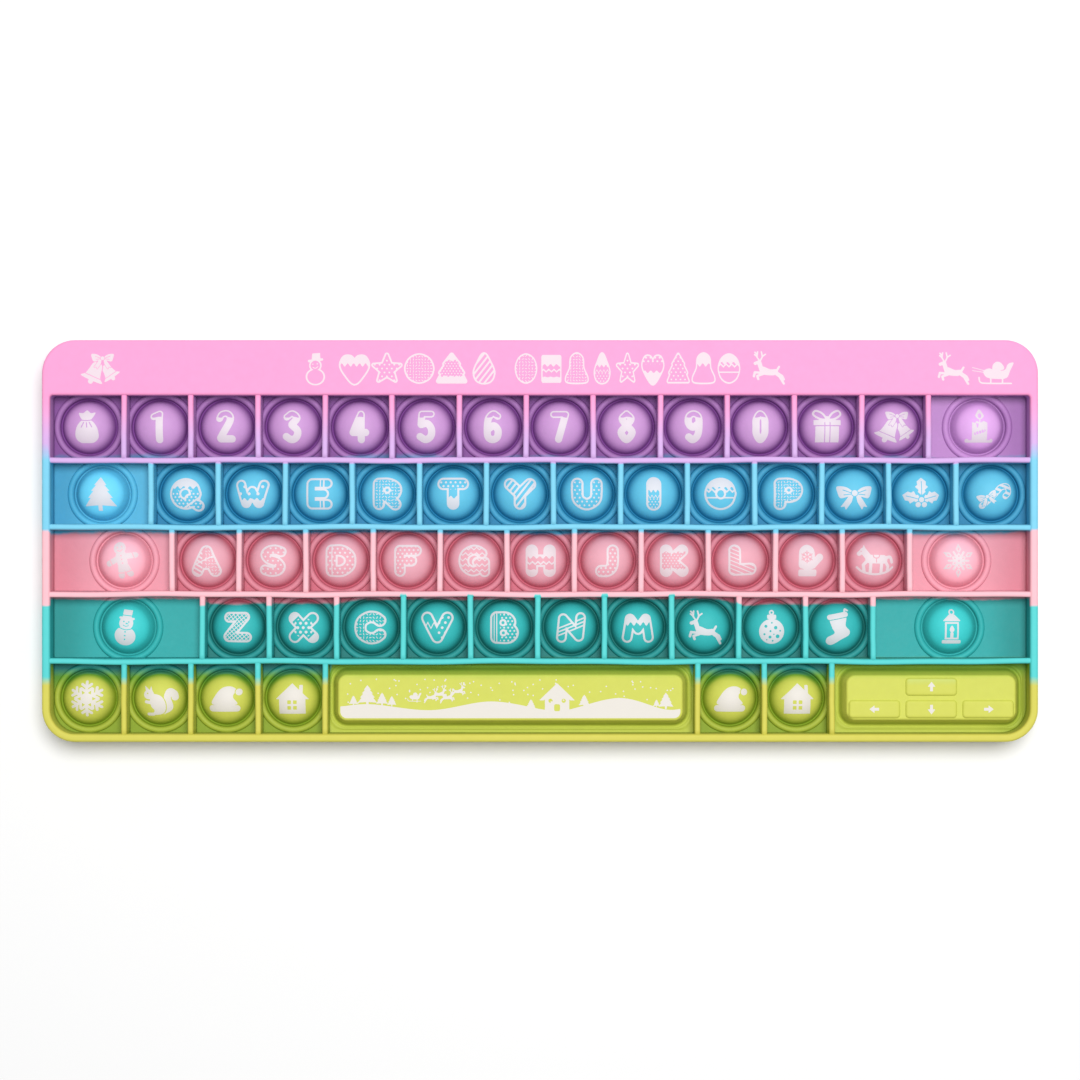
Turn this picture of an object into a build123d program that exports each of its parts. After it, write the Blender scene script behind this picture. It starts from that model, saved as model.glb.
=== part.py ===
from build123d import *
import os

os.makedirs("parts", exist_ok=True)

# Push-bubble toy in the shape of a keyboard. All sizes in mm, +Z up, the keys read from -Y.
# It stands on z = 0 and its box is centred on x = 0, y = 0.

# ---- tray ----
length = 285.0  # along X
depth = 115.0  # along Y
height = 15.0
corner_radius = 9.5
rim_width = 2.3
header_depth = 15.8  # the plain bar behind the top row
header_skin = 4.0  # what is left over the recess under the header
header_wall = 2.8
header_end = 11.0  # solid material at each end of that recess
rim_rounding = 0.7
clear = 1.0  # cutting shapes stand proud by this much

# ---- key grid ----
pitch = 19.2  # from key to key, both ways
top_row_depth = 17.7
wall = 1.7  # between two keys
wall_top = 14.6  # the walls end a little inside the rim, above and below
wall_foot = 0.4
wall_rounding = 0.5
web_level = height / 2  # middle of the thin floor, so that a popped key mirrors a raised one
web_thickness = 1.2
# Middle of each row's first wall, from the middle of a wall that would stand in for the left rim
first_wall = {1: 21.9, 2: 29.7, 3: 35.65, 4: 44.35, 5: 21.9}
walls_in_row = {1: 13, 2: 13, 3: 12, 4: 11}
keys_before_bar, keys_after_bar = 4, 2  # in the bottom row
space_cell = 106.65  # between the middles of the walls beside the space bar

# ---- bubbles ----
bubble_radius = 7.5  # where the dome's middle surface meets the floor
bubble_rise = 4.6  # of that surface, over the floor's middle
shell = 1.2
crown_radius = 4.5  # the stiff middle that moves
split = 0.05  # all round, between crown and flank
ring_radius = 8.4  # where the flank's flat edge ends
bead_width = 1.75  # of the raised ring round the flank, on both faces of the floor
bead_height = 0.9
corner_margin = 0.2  # floor beyond the ring that is made with each corner

# ---- long bubbles ----
bar_top = {"space_bar": (99.0, 13.3), "arrow_pad": (48.7, 13.0)}  # flat tops
bar_back = 0.35  # how far behind the row's middle they sit
bar_corner = 2.6
bar_flare = 1.6  # how much wider the foot of the flank is, on each side
bar_taper = 14.0  # of the flank, in degrees
bar_edge = 0.7  # from the edge of the flat top to the stiff plate
bar_foot = 0.6  # flat edge round the foot of the flank
bar_end = 1.0  # from the flat top to the slabs at the ends of the cell
arrow_key = (14.2, 4.7)
arrow_corner = 0.8
arrow_pitch = 16.3
arrow_back, arrow_front = 3.1, -3.35  # middles of the two lines of arrow keys, from the pad's own
key_rise = 0.5

inner_x = length / 2 - rim_width
inner_back = depth / 2 - header_depth
inner_front = -depth / 2 + rim_width
web_low = web_level - web_thickness / 2
web_high = web_level + web_thickness / 2

rail_y = [inner_back - top_row_depth - wall / 2 - pitch * k for k in range(4)]
row_span = {
    1: (rail_y[0] + wall / 2, inner_back),
    2: (rail_y[1] + wall / 2, rail_y[0] - wall / 2),
    3: (rail_y[2] + wall / 2, rail_y[1] - wall / 2),
    4: (rail_y[3] + wall / 2, rail_y[2] - wall / 2),
    5: (inner_front, rail_y[3] - wall / 2),
}
left = -inner_x - wall / 2
row_walls = {r: [left + first_wall[r] + pitch * i for i in range(n)] for r, n in walls_in_row.items()}
row_walls[5] = [left + first_wall[5] + pitch * i for i in range(keys_before_bar)]
row_walls[5] += [row_walls[5][-1] + space_cell + pitch * i for i in range(keys_after_bar + 1)]

row_names = {
    1: ["gift_bag", "1", "2", "3", "4", "5", "6", "7", "8", "9", "0", "gift_box", "bells", "candle"],
    2: ["fir_tree", "q", "w", "e", "r", "t", "y", "u", "i", "o", "p", "bow", "holly", "candy_cane"],
    3: ["gingerbread", "a", "s", "d", "f", "g", "h", "j", "k", "l", "mitten", "rocking_horse", "snowflake"],
    4: ["snowman", "z", "x", "c", "v", "b", "n", "m", "deer", "bauble", "stocking", "lantern"],
    5: ["flake", "squirrel", "hat", "house", "space_bar", "hat_right", "house_right", "arrow_pad"],
}
# Keys that do not sit in the middle of their wide cells, along X
off_centre = {"gingerbread": 3.3, "snowflake": -3.3, "space_bar": -0.275, "arrow_pad": -0.075}
long_keys = ["space_bar", "arrow_pad"]


def block(x0, x1, y0, y1, z0, z1):
    return Pos((x0 + x1) / 2, (y0 + y1) / 2, (z0 + z1) / 2) * Box(x1 - x0, y1 - y0, z1 - z0)


def disc(radius, z0, z1):
    return Pos(0, 0, (z0 + z1) / 2) * Cylinder(radius, z1 - z0)


def save(node, solids):
    shape = solids[0] if len(solids) == 1 else Compound(solids)
    export_step(shape, f"parts/{node}.step")


def solids_of(shape):
    return list(shape.solids())


# ---- rim: outer frame and header in one moulding ----
opening_sketch = Rectangle(2 * inner_x, inner_back - inner_front)
front_corners = opening_sketch.vertices().group_by(Axis.Y)[0]
opening_sketch = fillet(front_corners, corner_radius - rim_width)
opening = Pos(0, (inner_back + inner_front) / 2, -clear) * extrude(opening_sketch, height + 2 * clear)
slab = extrude(RectangleRounded(length, depth, corner_radius), height)
faces_up = slab.faces().sort_by(Axis.Z)
slab = fillet(faces_up[0].edges() + faces_up[-1].edges(), rim_rounding)
recess = block(
    header_end - length / 2, length / 2 - header_end,
    inner_back + header_wall, depth / 2 - header_wall, 0, height - header_skin,
)
rim = slab - opening - recess
save("rim", solids_of(rim))

# ---- wall grid: four rails along X and the short walls between them ----
grid = []
for y in rail_y:
    rail = block(-inner_x, inner_x, y - wall / 2, y + wall / 2, wall_foot, wall_top)
    grid += solids_of(fillet(rail.edges().filter_by(Axis.X), wall_rounding))
for row, xs in row_walls.items():
    y0, y1 = row_span[row]
    short = block(-wall / 2, wall / 2, y0, y1, wall_foot, wall_top)
    short = fillet(short.edges().filter_by(Axis.Y), wall_rounding)
    for x in xs:
        grid += solids_of(Pos(x, 0, 0) * short)
save("wall_grid", grid)

# ---- cells: one for each bubble ----
cells = {}
for row, names in row_names.items():
    edges = [left] + row_walls[row] + [-left]
    y0, y1 = row_span[row]
    for name, start, end in zip(names, edges[:-1], edges[1:]):
        x0, x1 = start + wall / 2, end - wall / 2
        x = (x0 + x1) / 2 + off_centre.get(name, 0)
        y = (y0 + y1) / 2 + (bar_back if name in long_keys else 0)
        cells[name] = dict(row=row, x0=x0, x1=x1, y0=y0, y1=y1, x=x, y=y)
round_keys = [name for name in cells if name not in long_keys]

# ---- the dome: a shell between two spheres with one centre ----
mid_radius = (bubble_radius**2 + bubble_rise**2) / (2 * bubble_rise)
centre_z = web_level + bubble_rise - mid_radius
ball = Pos(0, 0, centre_z) * Sphere(mid_radius + shell / 2)
hollow = Pos(0, 0, centre_z) * Sphere(mid_radius - shell / 2)
above = disc(pitch, web_low, height)
dome = (ball & above) + disc(ring_radius, web_low, web_high) - hollow
crown = dome & disc(crown_radius, web_level, height)
flank = dome - disc(crown_radius + split, web_low - clear, height)


def corner(across, up):
    """One corner of a cell's floor, in the quarter x > 0, y > 0 round its bubble."""
    piece = block(0, across, 0, up, web_low, web_high)
    bead = disc(ring_radius + bead_width, web_low - bead_height, web_high + bead_height)
    piece = piece + (bead & block(0, across, 0, up, 0, height))
    return piece - disc(ring_radius, 0, height)


# ---- web: the floor round each bubble, in four corners and, in a wide cell, slabs beside them ----
near_wall = ring_radius + bead_width + corner_margin
corners, web, flanks = {}, [], []
for name in round_keys:
    c = cells[name]
    up = round((c["y1"] - c["y0"]) / 2, 4)
    place = Pos(c["x"], c["y"], 0)
    found = []
    for side, room in ((1, c["x1"] - c["x"]), (-1, c["x"] - c["x0"])):
        across = round(min(room, near_wall), 4)
        if (across, up) not in corners:
            corners[across, up] = corner(across, up)
        quarter = corners[across, up]
        if side < 0:
            quarter = mirror(quarter, Plane.YZ)
        found += [place * quarter, place * mirror(quarter, Plane.XZ)]
        if room > near_wall:
            near, far = c["x"] + side * across, c["x"] + side * room
            found.append(block(min(near, far), max(near, far), c["y0"], c["y1"], web_low, web_high))
    own = place * (flank & block(c["x0"] - c["x"], c["x1"] - c["x"], -up, up, 0, height))
    if c["row"] == 5:
        found = [f & opening for f in found]
    for f in found:
        web += solids_of(f)
    flanks += solids_of(own)


def bar(key, grow, z0, z1, taper=0.0):
    """A prism with the outline of a long key's flat top, larger by grow on each side."""
    w, d = bar_top[key]
    outline = RectangleRounded(w + 2 * grow, d + 2 * grow, bar_corner + max(grow, -bar_corner / 2))
    return Pos(cells[key]["x"], cells[key]["y"], z0) * extrude(outline, z1 - z0, taper=taper)


# ---- long bubbles: flat tops on sloping flanks ----
top_z = web_level + bubble_rise + shell / 2
long_crowns = {}
for key in long_keys:
    c = cells[key]
    outer = bar(key, bar_flare, web_low, top_z, taper=bar_taper)
    inner = bar(key, bar_flare - shell, web_low - shell, top_z - shell, taper=bar_taper)
    foot = bar(key, bar_flare + bar_foot, web_low, web_high)
    bubble = outer + foot - inner
    plate_zone = bar(key, -bar_edge, web_level, height)
    gap_zone = bar(key, -bar_edge + split, 0, height)
    own_crown = bubble & plate_zone
    flanks += solids_of(bubble - gap_zone)
    hole = bar(key, bar_flare + bar_foot, 0, height)
    floor = block(c["x0"], c["x1"], c["y0"], c["y1"], web_low, web_high) - hole
    floor = floor & opening
    w, d = bar_top[key]
    cut_x = (c["x"] - w / 2 - bar_end, c["x"] + w / 2 + bar_end)
    for zone in (
        block(c["x0"], cut_x[0], c["y0"], c["y1"], 0, height),
        block(cut_x[1], c["x1"], c["y0"], c["y1"], 0, height),
        block(cut_x[0], cut_x[1], c["y0"], c["y"], 0, height),
        block(cut_x[0], cut_x[1], c["y"], c["y1"], 0, height),
    ):
        web += solids_of(floor & zone)
    long_crowns[key] = own_crown

save("web", web)
save("bubble_walls", flanks)

# ---- arrow keys, slightly raised on their pad ----
ax, ay = cells["arrow_pad"]["x"], cells["arrow_pad"]["y"]
key_places = [(0, arrow_back), (-arrow_pitch, arrow_front), (0, arrow_front), (arrow_pitch, arrow_front)]
for dx, dy in key_places:
    cap = extrude(RectangleRounded(*arrow_key, arrow_corner), key_rise + shell / 2)
    cap = Pos(ax + dx, ay + dy, top_z - shell / 2) * cap
    cap = cap & bar("arrow_pad", -bar_edge, 0, height)
    long_crowns["arrow_pad"] = long_crowns["arrow_pad"] + cap
for key in long_keys:
    save(key, solids_of(long_crowns[key]))

# ---- crowns: the stiff middle of each round bubble ----
bottom_row = []
for name in round_keys:
    c = cells[name]
    moved = solids_of(Pos(c["x"], c["y"], 0) * crown)
    if c["row"] == 5:
        bottom_row += moved
    else:
        save(f"bubble_{name}", moved)
save("bubbles_bottom_row", bottom_row)
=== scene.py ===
import bmesh
import bpy
import numpy as np
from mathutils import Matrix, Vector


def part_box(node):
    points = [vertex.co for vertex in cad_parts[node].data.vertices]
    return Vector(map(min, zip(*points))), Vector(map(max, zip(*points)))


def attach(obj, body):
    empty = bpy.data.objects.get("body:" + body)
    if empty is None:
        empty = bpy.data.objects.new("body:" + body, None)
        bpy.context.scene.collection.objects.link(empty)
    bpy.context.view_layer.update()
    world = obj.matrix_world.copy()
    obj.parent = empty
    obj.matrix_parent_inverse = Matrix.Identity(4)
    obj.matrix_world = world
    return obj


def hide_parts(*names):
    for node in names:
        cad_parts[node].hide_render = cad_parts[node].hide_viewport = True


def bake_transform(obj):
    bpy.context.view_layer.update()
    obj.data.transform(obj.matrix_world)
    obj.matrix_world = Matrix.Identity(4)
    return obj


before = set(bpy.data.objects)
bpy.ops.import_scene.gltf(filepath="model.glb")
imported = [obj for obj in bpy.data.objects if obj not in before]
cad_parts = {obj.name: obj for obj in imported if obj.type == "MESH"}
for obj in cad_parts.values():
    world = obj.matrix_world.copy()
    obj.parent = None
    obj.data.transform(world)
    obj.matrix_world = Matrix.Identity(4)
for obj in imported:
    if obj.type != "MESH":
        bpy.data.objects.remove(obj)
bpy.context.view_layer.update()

# ---- rim and header ----------------------------------------------------------------------
# The outer frame and the plain bar behind the keys: one thick silicone moulding with softly
# rounded edges. The bar is cored out from below, so that its wall is even. The toy lies on it.
MM = 0.001
low, high = (np.array(corner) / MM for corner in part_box("rim"))
CORNER = 9.5
RIM = 2.3
HEADER = 15.8
INNER_CORNER = 0.9
EDGE_ROUNDING = 0.8
EDGE_BORDER = 0.2
SIDE_LEVELS = (4.0, 7.5, 11.0)
RECESS_DEPTH = 11.0
RECESS_HALF = high[0] - 11.0
HEADER_WALL = 2.8
OPEN_X = high[0] - RIM
OPEN_FRONT, OPEN_BACK = low[1] + RIM, high[1] - HEADER


def outline(half_x, front, back, front_corner, back_corner, inset=0.0, side=40, turn=14):
    """Loop of points (x, y): a quarter circle at each corner and evenly spaced points along the
    straight sides between them. Inset moves the whole loop inwards along its normals."""
    corners = ((1, front, 1, front_corner, -90), (1, back, -1, back_corner, 0),
               (-1, back, -1, back_corner, 90), (-1, front, 1, front_corner, 180))
    arcs = []
    for along_x, y, inwards, radius, start in corners:
        deep = max(radius, inset)
        angle = np.radians(start + np.linspace(0, 90, turn))
        centre = np.array([along_x * (half_x - deep), y + inwards * deep])
        arcs.append(centre + (deep - inset) * np.stack([np.cos(angle), np.sin(angle)], 1))
    t = np.linspace(0, 1, side + 2)[1:-1, None]
    loop = []
    for here, there in zip(arcs, arcs[1:] + arcs[:1]):
        loop += [here, here[-1] * (1 - t) + there[0] * t]
    return np.concatenate(loop)


def grid_faces(rows, columns, close_rows=False, close_columns=True):
    """Quads between neighbours in a grid of points stored row by row; each way may run round."""
    r = np.arange(rows if close_rows else rows - 1)
    c = np.arange(columns if close_columns else columns - 1)
    r, c = (a.ravel() for a in np.meshgrid(r, c, indexing="ij"))
    r2, c2 = (r + 1) % rows, (c + 1) % columns
    return np.stack([r * columns + c, r * columns + c2, r2 * columns + c2, r2 * columns + c], 1)


def new_piece(name, points, faces, shell=True, weld=0.002):
    """An object from points in mm and a list of polygon arrays. Points closer than weld are
    merged. A closed shell has its faces turned outwards; an open skin has them turned up."""
    mesh = bpy.data.meshes.new(name)
    polygons = [face for block in faces for face in block.tolist()]
    mesh.from_pydata((np.asarray(points) * MM).tolist(), [], polygons)
    work = bmesh.new()
    work.from_mesh(mesh)
    if weld:
        bmesh.ops.remove_doubles(work, verts=work.verts, dist=weld * MM)
    if shell:
        bmesh.ops.recalc_face_normals(work, faces=work.faces)
    elif sum(face.normal.z * face.calc_area() for face in work.faces) < 0:
        bmesh.ops.reverse_faces(work, faces=work.faces)
    work.to_mesh(mesh)
    work.free()
    mesh.shade_smooth()
    piece = bpy.data.objects.new(name, mesh)
    bpy.context.scene.collection.objects.link(piece)
    return piece


def rounding(radius, steps=6):
    """Quarter circle as (inset, depth) pairs, from the side of an edge to its top."""
    a = np.radians(np.linspace(0, 90, steps))
    return list(zip(radius * (1 - np.cos(a)), radius * (1 - np.sin(a))))


outer = {"half_x": high[0], "front": low[1], "back": high[1],
         "front_corner": CORNER, "back_corner": CORNER}
inner = {"half_x": OPEN_X, "front": OPEN_FRONT, "back": OPEN_BACK,
         "front_corner": CORNER - RIM, "back_corner": INNER_CORNER}
edge = rounding(EDGE_ROUNDING)
flat = EDGE_ROUNDING + EDGE_BORDER
top_z = high[2]
section = [("out", flat, 0.0)] + [("out", k, d) for k, d in reversed(edge)]
section += [("out", 0.0, z) for z in SIDE_LEVELS]
section += [("out", k, top_z - d) for k, d in edge] + [("out", flat, top_z)]
section += [("in", -flat, top_z)] + [("in", -k, top_z - d) for k, d in reversed(edge)]
section += [("in", 0.0, z) for z in reversed(SIDE_LEVELS)] + [("in", -k, d) for k, d in edge]
section += [("in", -flat, 0.0)]
rim_loops = []
for side, inset, z in section:
    loop = outline(**(outer if side == "out" else inner), inset=inset)
    rim_loops.append(np.column_stack([loop, np.full(len(loop), z)]))
over_header = rim_loops[0][:, 1] > high[1] - 2 * CORNER
over_header &= np.abs(rim_loops[0][:, 0]) < RECESS_HALF
NEAR_MIDDLE = 0.49
for shape, sign in ((inner, -1), (outer, 1)):
    narrow = outline(**shape, inset=sign * RIM * NEAR_MIDDLE)
    wide = outline(**shape, inset=sign * HEADER_WALL)
    foot = np.where(over_header[:, None], wide, narrow)
    levels = (np.zeros(len(foot)), RECESS_DEPTH * over_header)
    for level in levels if sign < 0 else levels[::-1]:
        rim_loops.append(np.column_stack([foot, level]))
rim_points = np.concatenate(rim_loops)
rim = new_piece("rim_and_header", rim_points,
                [grid_faces(len(rim_loops), len(rim_loops[0]), close_rows=True)])


class Wire:
    """A value in a node tree. Ordinary operators add, subtract, multiply and divide it."""

    tree = None

    def __init__(self, socket):
        self.socket = socket

    @classmethod
    def node(cls, kind, settings=(), inputs=(), out=0):
        made = cls.tree.nodes.new("ShaderNode" + kind)
        for key, value in dict(settings).items():
            setattr(made, key, value)
        for key, value in dict(inputs).items():
            if isinstance(value, Wire):
                cls.tree.links.new(value.socket, made.inputs[key])
            else:
                made.inputs[key].default_value = value
        return cls(made.outputs[out])

    def math(self, operation, *others):
        return self.node("Math", {"operation": operation}, enumerate((self, *others)))

    def __add__(self, other):
        return self.math("ADD", other)

    def __mul__(self, other):
        return self.math("MULTIPLY", other)

    def __sub__(self, other):
        return self.math("SUBTRACT", other)

    def __truediv__(self, other):
        return self.math("DIVIDE", other)

    def __rsub__(self, other):
        return self * -1 + other

    __radd__, __rmul__ = __add__, __mul__

    def step(self, start, end):
        """0 up to start and 1 from end, smooth between them; start may be the larger."""
        ends = {"Value": self, "From Min": start, "From Max": end}
        return self.node("MapRange", {"interpolation_type": "SMOOTHSTEP"}, ends)


def mix(first, second, share):
    """Colour from first to second; share is a number or a Wire."""
    colours = [c if isinstance(c, Wire) else (*c, 1.0) for c in (first, second)]
    ports = {0: share, 6: colours[0], 7: colours[1]}
    return Wire.node("Mix", {"data_type": "RGBA", "clamp_factor": True}, ports, out=2)


def srgb(code):
    """Linear colour from six hexadecimal digits."""
    v = np.array([int(code[i:i + 2], 16) for i in (0, 2, 4)]) / 255
    return tuple(np.where(v < 0.04045, v / 12.92, ((v + 0.055) / 1.055) ** 2.4).tolist())


def stretched(place, *factors):
    """A place with each of its three coordinates multiplied by a factor of its own."""
    return Wire.node("VectorMath", {"operation": "MULTIPLY"}, {0: place, 1: factors})


def shaded(colour, factor):
    """A colour multiplied by a number or a Wire."""
    return Wire.node("VectorMath", {"operation": "SCALE"}, {0: colour, 3: factor})


def noise(place, scale, detail=2.0):
    """Smooth noise from -1 to 1, with about scale features in each unit of place."""
    found = Wire.node("TexNoise", {}, {"Vector": place, "Scale": scale, "Detail": detail})
    return found * 2 - 1


# Each shot of silicone in three tones: upper edges, lighter partly by the shot's own colour and
# partly by painted light; bubble crowns; and a dark tone that is painted shade on the floors and
# the low flanks in the depth of the cells. They go from the header to the front edge, and the last
# shot's crowns and depths have a greener tone behind their own.
TOPS = [srgb(code) for code in ("F69BCB", "79CAE6", "F7BAC4", "53CDCB", "CEC853")]
LILAC = srgb("D0AAE1")
CROWNS = [srgb(code) for code in ("C696CE", "60BEDD", "E3A5B3", "34B4B4", "8FB83A", "C8CC56")]
PAINTED_SHADE_DEPTHS = [srgb(code) for code in ("6E3780", "056D96", "B55A6C", "046662", "3F7A1C", "758E12")]
WALL = 1.7
FIRST_ROW = 17.7
PITCH = 19.2
RAILS = [OPEN_BACK - FIRST_ROW - WALL / 2 - PITCH * k for k in range(4)]
ROW_4_FIRST_WALL = -96.7


def banded(tones, shares):
    """The first tone, covered by each next one by its share."""
    colour = tones[0]
    for tone, share in zip(tones[1:], shares):
        colour = mix(colour, tone, share)
    return colour


def band_colour(painted_open_light=0.0):
    """Colour of the moulding at a point: five shots of silicone that meet near the rails. Each
    border wanders a little, and lies further back on the rim and in the depth of the cells. The
    depth carries painted shade, and for a wide cell the argument paints light into its depth and
    on to its bubble. All lengths are in mm."""
    place = Wire.node("TexCoord", out=3)
    split = Wire.node("SeparateXYZ", inputs={0: place})
    x, y, z = (Wire(split.socket.node.outputs[i]) * (1 / MM) for i in range(3))
    wander = noise(stretched(place, 60, 60, 20), 1.0)
    smear = noise(stretched(place, 420, 420, 260), 1.0)
    reach = x.math("ABSOLUTE")
    on_rim = reach.step(OPEN_X - 0.3, OPEN_X + 0.5)
    # below half height the colours mirror those above
    z = (z - high[2] / 2).math("ABSOLUTE") + high[2] / 2
    flanks = z.step(8.6, 10.4)
    outside = reach.step(OPEN_X, OPEN_X + 0.3).math("MAXIMUM", y.step(OPEN_BACK, OPEN_BACK + 0.3))
    outside = outside.math("MAXIMUM", y.step(OPEN_FRONT, OPEN_FRONT - 0.3))
    round_corner = (reach - y - (high[0] - low[1] - 2 * CORNER)).step(11.6, 12.2)
    outside = outside.math("MAXIMUM", round_corner)
    smeared_y = y + 0.35 * smear

    def share(border, width):
        """0 behind the border and 1 in front of it, in a ramp of that width."""
        return (border - smeared_y) / width + 0.5

    # on the upper edges; at the outer keys the rose shot reaches past the third rail, and in the
    # middle the turquoise one runs up the tip of each short wall to that rail
    outer_keys = reach.step(50.0, 60.0)
    on_wall = ((x - ROW_4_FIRST_WALL) / PITCH).math("FRACT")
    tip = on_wall.math("SUBTRACT", 0.5).math("ABSOLUTE").step(0.44, 0.46) * (1 - outer_keys)
    to_blue = share(RAILS[0] - 0.95 + on_rim * (3.4 + wander), 0.5 + on_rim * 4.5)
    to_rose = share(RAILS[1] - 1.75 + on_rim * 0.9 + 0.5 * wander, 0.8)
    to_turquoise = share(RAILS[2] - 0.9 - 2.4 * outer_keys + 1.0 * tip + 0.3 * wander, 0.6)
    to_lime = share(RAILS[3] - 5.6 + 0.5 * wander, 2.6)
    first_top = mix(TOPS[0], LILAC, y.step(OPEN_BACK + 1, OPEN_BACK - 15))
    tops = banded([first_top, *TOPS[1:]], [to_blue, to_rose, to_turquoise, to_lime])

    # in the depth; the lime shot reaches further back in the cells of the two long bubbles
    narrow_outer = outer_keys * reach.step(97.0, 95.0)
    long_cell = (x + 8.5).math("ABSOLUTE").step(52.5, 51.0) + x.step(84.0, 85.0)
    last = RAILS[3] - 5.2 + 3.0 * flanks * (1 - long_cell) + 3.6 * long_cell
    last = last + 0.6 * wander + 0.5 * smear
    to_blue = share(RAILS[0] + 0.9 + 2.2 * wander - flanks, 1.8)
    to_rose = share(RAILS[1] - 1.7 + 1.4 * wander, 0.8)
    to_turquoise = share(RAILS[2] - 1.4 - 1.5 * narrow_outer + 0.9 * wander, 0.7)
    to_green, to_lime = share(last + 1.6, 2.4), share(last - 1.8, 3.6)
    deep_shares = [to_blue, to_rose, to_turquoise, to_green, to_lime]

    # lit blends from the painted shade of the depth to the crown tone as the surface rises; in a wide
    # cell painted light lifts the depth to the crown tone, less near the rim, which keeps a painted
    # shadow there, and in the four rows behind the last rail painted light also brightens its bubble
    lit = z.step(7.4, 11.2).math("MAXIMUM", painted_open_light * (1 - 0.45 * reach.step(127.0, 138.5)))
    deep = mix(banded(PAINTED_SHADE_DEPTHS, deep_shares), banded(CROWNS, deep_shares), lit)
    painted_bubble_light = 1 + 0.45 * painted_open_light * z.step(7.4, 10.4) * y.step(RAILS[3] - 1, RAILS[3] + 1)
    # upper edges take the lighter top tones: partly the shots' own colour, partly painted light
    upper_edge = z.step(12.9, 14.2)
    return mix(shaded(deep, painted_bubble_light), tops, upper_edge.math("MAXIMUM", outside)), place, smear


def finish(colour, rough, grain, place):
    """A dielectric skin of that colour, with fine grain in its roughness and in its bump."""
    fine = noise(place, 900.0, 3.0)
    broad = noise(place, 130.0, 2.0)
    height = fine * 0.6 + broad * 0.9
    bump = Wire.node("Bump", {}, {"Strength": grain, "Distance": 0.00012, "Height": height})
    shader = Wire.node("BsdfPrincipled", {}, {
        "Base Color": colour, "Roughness": rough + 0.06 * fine + 0.04 * broad,
        "Normal": bump, "IOR": 1.43, "Specular IOR Level": 0.45,
    })
    out = Wire.tree.nodes.new("ShaderNodeOutputMaterial")
    Wire.tree.links.new(shader.socket, out.inputs["Surface"])


def new_material(name):
    """An empty material, whose nodes are the next to be wired."""
    material = bpy.data.materials.new(name)
    material.use_nodes = True
    material.node_tree.nodes.clear()
    Wire.tree = material.node_tree
    return material


def silicone_skin(name, painted_open_light):
    """The five shots of silicone with their painted light and shade, mottled a little by the same
    smears that blur their borders.
    """
    material = new_material(name)
    colour, place, smear = band_colour(painted_open_light)
    finish(shaded(colour, 1.0 + 0.035 * smear), 0.64, 0.22, place)
    return material


# both carry painted shade in the depth; the second adds painted light to the wide cells' depth and bubbles
silicone = silicone_skin("banded_silicone_painted_shade", 0.0)
painted_lit_silicone = silicone_skin("painted_lit_silicone", 0.62)
rim.data.materials.append(silicone)
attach(rim, "tray")
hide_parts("rim")

# ---- walls between the keys --------------------------------------------------------------
# Four long rails and the short walls between them, moulded in one with the rim. The soft
# silicone bows a little between its joints, and the walls are thicker at the floor.
WALL_TOP, WALL_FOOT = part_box("wall_grid")[1].z / MM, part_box("wall_grid")[0].z / MM
WALL_ROUNDING = 0.62
SWELL = 0.16
INTO_RIM, INTO_RAIL = 1.0, 0.45
SHORT_WALL_DROP = 0.12
FLOOR = (WALL_TOP + WALL_FOOT) / 2
row_edges = [OPEN_BACK] + [y for rail in RAILS for y in (rail + WALL / 2, rail - WALL / 2)] + [OPEN_FRONT]
ROWS = {k + 1: (row_edges[2 * k + 1], row_edges[2 * k]) for k in range(5)}
WALLS = {row: [start + PITCH * i for i in range(count)] for row, start, count in
         ((1, -119.15, 13), (2, -111.35, 13), (3, -105.4, 12), (4, ROW_4_FIRST_WALL, 11))}
WALLS[5] = [-119.15, -99.95, -80.75, -61.55, 45.1, 64.3, 83.5]


def bar_section():
    """Loop (across, z) of a wall: round at both edges and a sixth thicker at the floor."""
    loop = outline(WALL / 2 - 0.05, WALL_FOOT, WALL_TOP, WALL_ROUNDING, WALL_ROUNDING, side=7, turn=6)
    swell = 1 + SWELL * (1 - np.abs(loop[:, 1] - FLOOR) / (WALL_TOP - FLOOR))
    return np.column_stack([loop[:, 0] * swell, loop[:, 1]])


def wall_bars(lines, stations):
    """The section carried along each straight line (x0, y0, x1, y1); ends are closed."""
    loop = bar_section()
    size = stations * len(loop)
    points, faces = [], []
    for number, (x0, y0, x1, y1) in enumerate(lines):
        start, end = np.array([x0, y0]), np.array([x1, y1])
        along = (end - start) / np.linalg.norm(end - start)
        across = np.array([-along[1], along[0]])
        t = np.linspace(0, 1, stations)[:, None, None]
        flat_points = start + t * (end - start) + loop[None, :, :1] * across
        z = np.broadcast_to(loop[None, :, 1:], (stations, len(loop), 1))
        points.append(np.concatenate([flat_points, z], 2).reshape(-1, 3))
        faces.append(grid_faces(stations, len(loop)) + number * size)
        ring = np.arange(len(loop))[None]
        faces += [ring + number * size, ring + (number + 1) * size - len(loop)]
    return np.concatenate(points), faces


def sway(points):
    """Soft walls stand a little crooked: slow sine waves, up to 0.26 mm high, move their edges
    by the square of the height from the floor, where they stay in place."""
    x, y, z = points.T
    free = ((z - FLOOR) / (WALL_TOP - FLOOR)) ** 2
    row = np.round(y / PITCH)
    points[:, 1] += free * (0.16 * np.sin(x / 11.7 + 2.1 * row) + 0.10 * np.sin(x / 4.9 + row))
    points[:, 0] += free * 0.12 * np.sin(x / 8.3 + 1.7 * row) * np.cos((y - 3.0) / 6.1)
    return points


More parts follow.
